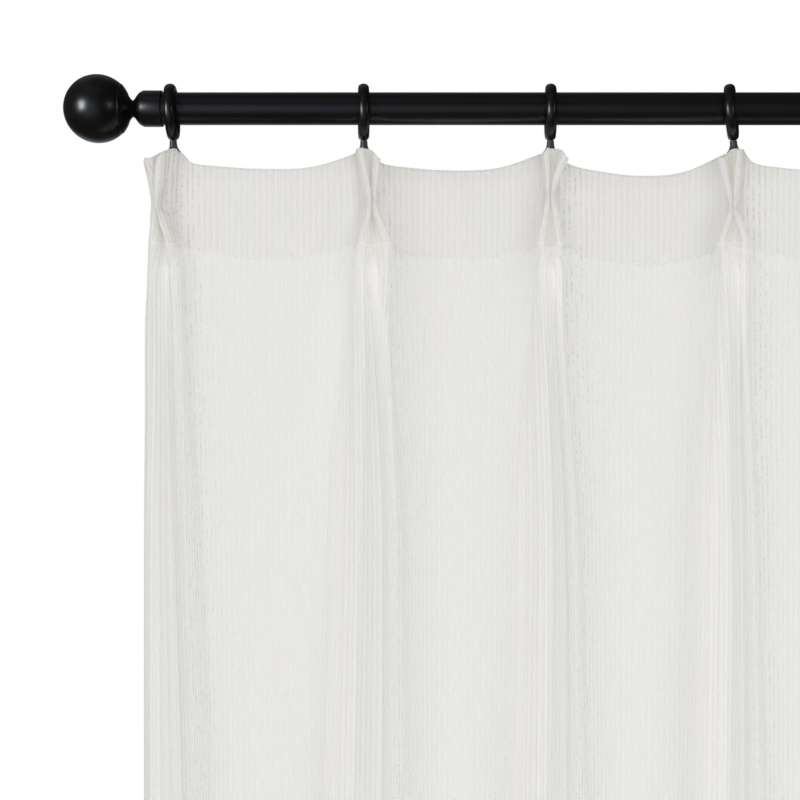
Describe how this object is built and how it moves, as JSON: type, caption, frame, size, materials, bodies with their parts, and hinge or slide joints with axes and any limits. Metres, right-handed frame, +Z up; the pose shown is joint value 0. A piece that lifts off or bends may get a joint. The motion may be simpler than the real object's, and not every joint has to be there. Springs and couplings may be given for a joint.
{
  "type": "curtain rod with sheer pinch-pleat curtain",
  "caption": "Sheer white voile curtain with pinch pleats, hung by hooks and screw-eye rings from a black metal rod with ball finials.",
  "frame": {"origin": "on the rod's axis at the middle of its length, where its brackets hold it", "axes": "+X along the rod, +Z up, and the curtain faces -Y with the wall on its +Y side"},
  "size_m": [1.1598, 0.0884, 2.0594],
  "materials": {
    "white_voile": "sheer ribbed voile",
    "heading_stiffener": "stiffened double heading",
    "black_satin_metal": "satin black",
    "dark_steel": "dark satin",
    "bright_wire": "bright zinc"
  },
  "bodies": {
    "root": {"panel": "white_voile", "heading_band": "heading_stiffener", "pole": "black_satin_metal", "finial_left": "black_satin_metal", "finial_right": "black_satin_metal", "ring_1": "black_satin_metal", "ring_2": "black_satin_metal", "ring_3": "black_satin_metal", "ring_4": "black_satin_metal", "ring_5": "black_satin_metal", "ring_6": "black_satin_metal", "ring_7": "black_satin_metal", "grub_screw_left": "dark_steel", "grub_screw_right": "dark_steel", "eye_1": "dark_steel", "eye_2": "dark_steel", "eye_3": "dark_steel", "eye_4": "dark_steel", "eye_5": "dark_steel", "eye_6": "dark_steel", "eye_7": "dark_steel", "hook_1": "bright_wire", "hook_2": "bright_wire", "hook_3": "bright_wire", "hook_4": "bright_wire", "hook_5": "bright_wire", "hook_6": "bright_wire", "hook_7": "bright_wire"}
  },
  "joints": []
}
